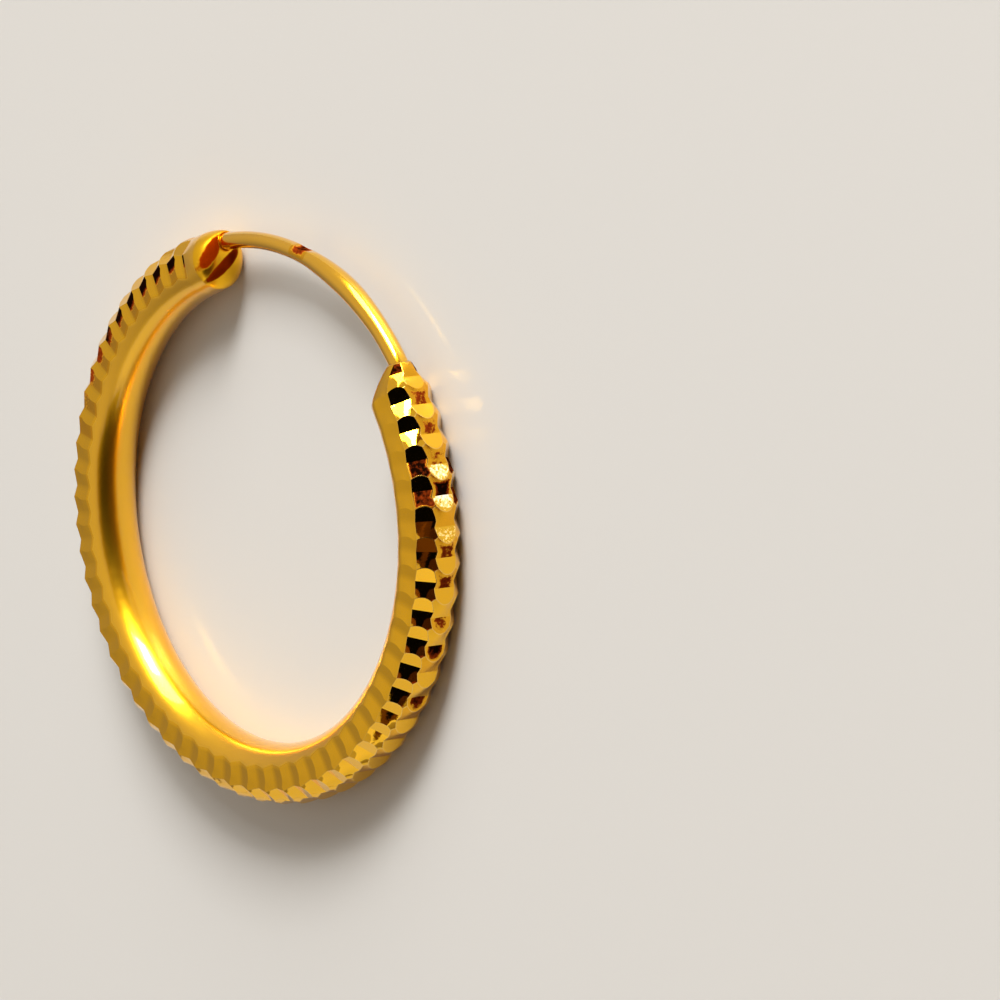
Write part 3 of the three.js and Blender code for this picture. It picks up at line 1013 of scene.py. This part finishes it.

# %% Painted light at every point of the hoop
def hoop_painted_light():
    """Painted light at every point of the hoop, row by row and then on the dome."""
    point = np.arange(len(hoop.data.vertices))
    loop = point // AROUND
    column = np.minimum(point % AROUND, AROUND - point % AROUND)
    line = loop - FIRST_CUT_LOOP
    on_lines = (line >= 0) & (line < len(LINES))
    near = np.clip(line, 0, len(LINES) - 1)
    across = np.array(ACROSS_WALL)[np.minimum(column, OUTER_PARTS)]

    in_outer = on_lines & (column <= SHOULDER_START)
    on_flat = in_outer & (line_edge[near] == OUTER_VALLEY)
    painted_flat = on_flat & np.isin(line_step[near], list(FLAT_PAINTED_DARK))
    inside_flat = on_flat & (line_share[near] > 0)
    beyond_outer = on_lines & (column > SHOULDER_START)
    painted_tip = beyond_outer & (line_step[near] < 0)
    in_shoulder = beyond_outer & (column < SIDE_START)
    in_side = on_lines & (column >= SIDE_START)
    on_dome = (loop >= FIRST_DOME_LOOP) & (loop <= FIRST_DOME_LOOP + DOME_LOOPS)

    # where two of these hold at once, the first one counts
    painted_light_by_place = (
        (painted_flat, flat_painted_dark(near, across)),
        (inside_flat, listed(line_step[near], FLAT_PAINTED_GLINTS)),
        (in_outer, outer_wall_painted_dark(near, across)),
        (painted_tip, TIP_PAINTED_SHADE),
        (in_shoulder, listed(rise_number(near), RISES_PAINTED_DARK)),
        (in_side, side_painted_dark(near, column)),
        (on_dome, dome_painted_reflection()),
    )
    conditions, values = zip(*painted_light_by_place)
    return np.select(conditions, values, 0)


def set_painted_light(piece, values):
    """Store the painted light of a piece's points, where its materials read it."""
    attribute = piece.data.attributes.new("painted_light", "FLOAT", "POINT")
    attribute.data.foreach_set("value", np.asarray(values, dtype=np.float32))


painted_light = hoop_painted_light()
set_painted_light(hoop, painted_light)
# Counts the points where a painted tone shows.
print(int((painted_light > PAINTED_TONE_START).sum()), "of", len(painted_light), "points have a skin on them")

# %% Painted shade in the wire's notch
NOTCH_PAINTED_SHADE = 0.6
NOTCH_MIDDLE = 95.7  # ring angle
NOTCH_REACH = 2.6  # degrees on each side over which the painted shade fades out
NOTCH_DEPTH = 0.42  # mm below the wire's outward side that the painted shade reaches


def notch_painted_shade(point):
    """Painted shade at a point of the ear wire: most in the middle of the notch's flat, and none far from it.
    """
    x, y, z = point / MM
    angle = math.degrees(math.atan2(y, x))
    out = math.hypot(x, y) - RING_RADIUS
    depth = wire_column(angle, OFFSET) + wire_column(angle, DIAMETER) / 2 - out
    beside = (angle - NOTCH_MIDDLE) / NOTCH_REACH
    below = max(0.0, depth / NOTCH_DEPTH)
    return NOTCH_PAINTED_SHADE * max(0.0, 1 - beside ** 2) * max(0.0, 1 - below ** 2)


set_painted_light(wire, [notch_painted_shade(point.co) for point in wire.data.vertices])
for face in wire.data.polygons:
    face.material_index = NOTCH_SLOT if notch_painted_shade(face.center) > 0 else WIRE_SLOT
notch_faces = [face for face in wire.data.polygons if face.material_index == NOTCH_SLOT]
print(len(notch_faces), "faces of the wire lie in the notch")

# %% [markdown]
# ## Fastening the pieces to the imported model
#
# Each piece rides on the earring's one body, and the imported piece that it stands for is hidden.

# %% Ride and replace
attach(hoop, "root")
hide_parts("hoop_tube")
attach(wire, "root")
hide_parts("ear_wire")
print("two pieces stand for the packed ones")

# %% [markdown]
# ## The table
#
# A pale grey tabletop with a satin lacquer, which shows soft glints of gold beside the hoop. It is much
# larger than the earring, because the metal mirrors it right out to the horizon. The paint's grain is a
# shallow noise in a bump node, drawn coarser than real grain so that it just shows.

# %% Tabletop
TABLE_HALF = 3.0  # metres
TABLE_COLOUR = "#C8C6C2"
TABLE_GRAIN = 0.8  # mm from one speck of the paint's grain to the next
TABLE_RELIEF = 0.01  # mm


def tabletop_material():
    """Matt paint under a thin satin lacquer: an even pale grey with a weak, blurred mirror image."""
    material, tree, shader = new_material("pale lacquered tabletop", {
        "Base Color": linear(TABLE_COLOUR), "Roughness": 0.6,
        "Coat Weight": 0.2, "Coat IOR": LACQUER_IOR, "Coat Roughness": 0.15})
    coordinates = add_node(tree, "ShaderNodeTexCoord")
    grain = add_node(
        tree, "ShaderNodeTexNoise", {"Scale": 1 / (TABLE_GRAIN * MM), "Detail": 3.0},
        {"Vector": coordinates.outputs["Object"]})
    bump = add_node(
        tree, "ShaderNodeBump", {"Strength": 0.2, "Distance": TABLE_RELIEF * MM},
        {"Height": grain.outputs["Fac"]})
    tree.links.new(bump.outputs["Normal"], shader.inputs["Normal"])
    return material


corners = np.array([(-1, -1, 0), (1, -1, 0), (1, 1, 0), (-1, 1, 0)]) * TABLE_HALF
table = new_mesh("tabletop", corners, [(0, 1, 2, 3)])
table.data.materials.append(tabletop_material())
table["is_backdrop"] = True
print(f"the tabletop is {2 * TABLE_HALF:.0f} m wide")

# %% [markdown]
# ## Camera
#
# A long lens from 67 cm, so that the hoop is drawn almost without perspective. The camera looks down on the
# lying hoop from beside it, and is rolled so that the ear wire is at the top of the frame. It is turned a
# little away from the hoop, which so stands left of the middle.

# %% Camera
CAMERA_DISTANCE = 0.672  # metres from the hoop
LENS = 562.1  # mm
SENSOR = 36  # mm
TO_CAMERA = Vector((0.68287, 0.39656, 0.61353)).normalized()  # from the hoop
CAMERA_RIGHT = Vector((0.59101, 0.19374, -0.78305)).normalized()  # points to the right in the frame
HOOP_RIGHT_OF_MIDDLE = -0.235  # places in the frame, as shares of its width
HOOP_ABOVE_MIDDLE = -0.015

centre = Vector((0, 0, ring_height * MM))
camera_up = TO_CAMERA.cross(CAMERA_RIGHT).normalized()
facing_hoop = Matrix((CAMERA_RIGHT, camera_up, TO_CAMERA)).transposed()
sight = Vector((HOOP_RIGHT_OF_MIDDLE, HOOP_ABOVE_MIDDLE, -LENS / SENSOR))
swing = Vector((0, 0, -1)).rotation_difference(sight).to_matrix()
camera = bpy.data.objects.new("camera", bpy.data.cameras.new("camera"))
camera.data.lens = LENS
camera.data.sensor_width = SENSOR
camera_place = Matrix.Translation(centre + TO_CAMERA * CAMERA_DISTANCE)
camera.matrix_world = camera_place @ (facing_hoop @ swing.inverted()).to_4x4()
bpy.context.scene.collection.objects.link(camera)
bpy.context.scene.camera = camera
print(f"the camera looks down at {math.degrees(math.asin(TO_CAMERA.z)):.1f} degrees")

# %% [markdown]
# ## Light
#
# Polished gold shows its surroundings, so the light is built as surroundings. All of them stand about 1.5 m
# away and are given by the directions that they fill, seen from the hoop. A large key softbox beside the
# hoop lights the room, and a small bright lamp in it gives the few strongest highlights. A long weak softbox
# on the other side gives the far side its sheen.
#
# Lights alone would make every facet gold. Cards do the rest: a black one high beside the camera gives the
# black facets that make diamond-cut gold sparkle. Chestnut, umber, brown and terracotta ones round it give
# the deep browns that a warm room would.

# %% Softboxes
LIGHT_DISTANCE = 1.5  # metres
LAMP_DISTANCE = 1.49  # so that the key lamp hangs just before its softbox


def direction(azimuth, elevation):
    """Unit vector from the hoop at these angles, in degrees."""
    flat = math.cos(elevation * DEGREE)
    return Vector((
        flat * math.cos(azimuth * DEGREE), flat * math.sin(azimuth * DEGREE), math.sin(elevation * DEGREE)))


def place_facing_hoop(thing, azimuth, elevation, roll, distance):
    """Put a thing where these angles say and turn it to the hoop."""
    way = direction(azimuth, elevation)
    turn = (-way).to_track_quat("-Z", "Y").to_matrix() @ Matrix.Rotation(roll * DEGREE, 3, "Z")
    thing.matrix_world = Matrix.Translation(centre + way * distance) @ turn.to_4x4()


def span(degrees):
    """Width that spans this many degrees, seen from the hoop."""
    return 2 * LIGHT_DISTANCE * math.tan(degrees / 2 * DEGREE)


def add_softbox(name, azimuth, elevation, width, height, brightness, roll=0, distance=LIGHT_DISTANCE):
    """Soft rectangular light. Width, height and roll are in degrees, brightness is that of its face."""
    light = bpy.data.lights.new(name, "AREA")
    light.shape = "RECTANGLE"
    light.size = span(width)
    light.size_y = span(height)
    light.energy = brightness * math.pi * light.size * light.size_y
    softbox = bpy.data.objects.new(name, light)
    place_facing_hoop(softbox, azimuth, elevation, roll, distance)
    bpy.context.scene.collection.objects.link(softbox)


add_softbox("key softbox", azimuth=101, elevation=28, width=32, height=38, brightness=7)
add_softbox(
    "key lamp", azimuth=92, elevation=28, width=16, height=18, brightness=38, distance=LAMP_DISTANCE)
add_softbox("side softbox", azimuth=288, elevation=18, width=84, height=28, brightness=0.45, roll=27)

# %% Cards
CARD_ACROSS = 24  # faces that a card has along its azimuths
CARD_UPWARD = 6
CARD_ROUGHNESS = 0.9


def add_bent_card(name, azimuths, elevations, colour):
    """Matt card bent round the hoop between two azimuths and two elevations, in degrees."""
    points = []
    for elevation in np.linspace(*elevations, CARD_UPWARD + 1):
        for azimuth in np.linspace(*azimuths, CARD_ACROSS + 1):
            points.append(centre + direction(azimuth, elevation) * LIGHT_DISTANCE)
    faces = []
    for row in range(CARD_UPWARD):
        for column in range(CARD_ACROSS):
            corner = row * (CARD_ACROSS + 1) + column
            above = corner + CARD_ACROSS + 1
            faces.append((corner, above, above + 1, corner + 1))
    card = new_mesh(name, np.array(points), faces)
    # Uncoated card has no gloss, so only its colour shows in the gold.
    material, _, _ = new_material(
        "matt " + name,
        {"Base Color": linear(colour), "Roughness": CARD_ROUGHNESS, "Specular IOR Level": 0.0})
    card.data.materials.append(material)
    card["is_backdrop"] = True


add_bent_card("black card", azimuths=(-30, 47), elevations=(31, 58), colour="#060606")
add_bent_card("chestnut card", azimuths=(-30, 47), elevations=(58, 66), colour="#74492C")
add_bent_card("dark umber card", azimuths=(-30, 47), elevations=(6, 31), colour="#3E2412")
add_bent_card("umber card", azimuths=(-40, -30), elevations=(24, 50), colour="#603E22")
add_bent_card("dark brown card", azimuths=(47, 60), elevations=(14, 62), colour="#4C2E1C")
add_bent_card("brown card", azimuths=(60, 82), elevations=(14, 62), colour="#663F28")
add_bent_card("terracotta card", azimuths=(-30, 52), elevations=(-1, 6), colour="#82381C")

# %% [markdown]
# ## Sky
#
# A grey sky fills in between the cards, as the walls and ceiling of a room do. It is brighter towards the
# key softbox than away from it, so a facet turned from the light still has a tone of its own.

# %% Sky
SKY_DARK = "#8E867C"
SKY_BRIGHT = "#CCC4B8"
SKY_SPREAD = 0.36  # sine of the angle on each side of the middle over which the sky changes
BRIGHT_SIDE = (79, 44)  # azimuth and elevation of the brightest sky

world = bpy.data.worlds.new("studio")
world.use_nodes = True
bpy.context.scene.world = world
sky = world.node_tree
sky_coordinates = add_node(sky, "ShaderNodeTexCoord")
towards_bright = add_node(
    sky, "ShaderNodeVectorMath", {"operation": "DOT_PRODUCT"}, {0: sky_coordinates.outputs["Generated"]})
towards_bright.inputs[1].default_value = direction(*BRIGHT_SIDE)
sky_share = add_node(
    sky, "ShaderNodeMapRange", {"From Min": -SKY_SPREAD, "From Max": SKY_SPREAD},
    {"Value": towards_bright.outputs["Value"]})
sky_tone = add_node(sky, "ShaderNodeValToRGB", {}, {"Fac": sky_share.outputs["Result"]})
sky_tone.color_ramp.elements[0].color = linear(SKY_DARK)
sky_tone.color_ramp.elements[1].color = linear(SKY_BRIGHT)
sky.links.new(sky_tone.outputs["Color"], sky.nodes["Background"].inputs["Color"])
bpy.context.scene.view_settings.view_transform = "Standard"
print(f"sky from {SKY_DARK} to {SKY_BRIGHT}")

# %% [markdown]
# ## Both boxes
#
# The imported model's box and the made model's box are printed, in millimetres. The made model has to stay in
# the imported model's box.

# %% Print both boxes
made_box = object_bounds()
boxes = {
    "packed": [list(corner) for corner in cad_box],
    "made": [list(corner) for corner in made_box],
}
print("boxes in millimetres:")
for name, corners in boxes.items():
    print(name, np.round(np.array(corners) / MM, 3).tolist())
